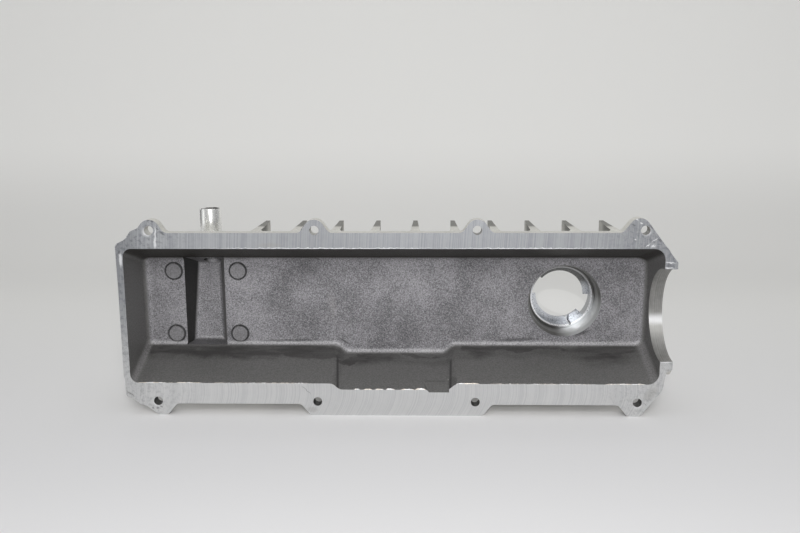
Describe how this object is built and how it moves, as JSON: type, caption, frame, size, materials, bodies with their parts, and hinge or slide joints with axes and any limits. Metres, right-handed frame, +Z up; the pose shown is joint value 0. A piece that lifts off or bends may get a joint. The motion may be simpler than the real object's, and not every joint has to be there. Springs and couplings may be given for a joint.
{
  "type": "engine valve cover",
  "caption": "Cast finned valve cover with gasket flange, oil filler neck with bayonet ring, and pressed-in breather tube.",
  "frame": {"origin": "middle of the eight-hole bolt pattern, on the gasket face", "axes": "X along the engine with the camshaft end at +X, -Y out of the gasket face, +Z up with the cover standing on its long side"},
  "size_m": [0.4238, 0.0765, 0.156],
  "materials": {
    "cast_aluminium": "as cast inside, milled gasket face",
    "tube_steel": "bright drawn and plated",
    "ring_steel": "bright rolled strip"
  },
  "bodies": {
    "root": {"cover_casting": "cast_aluminium", "breather_tube": "tube_steel", "filler_ring": "ring_steel"}
  },
  "joints": []
}
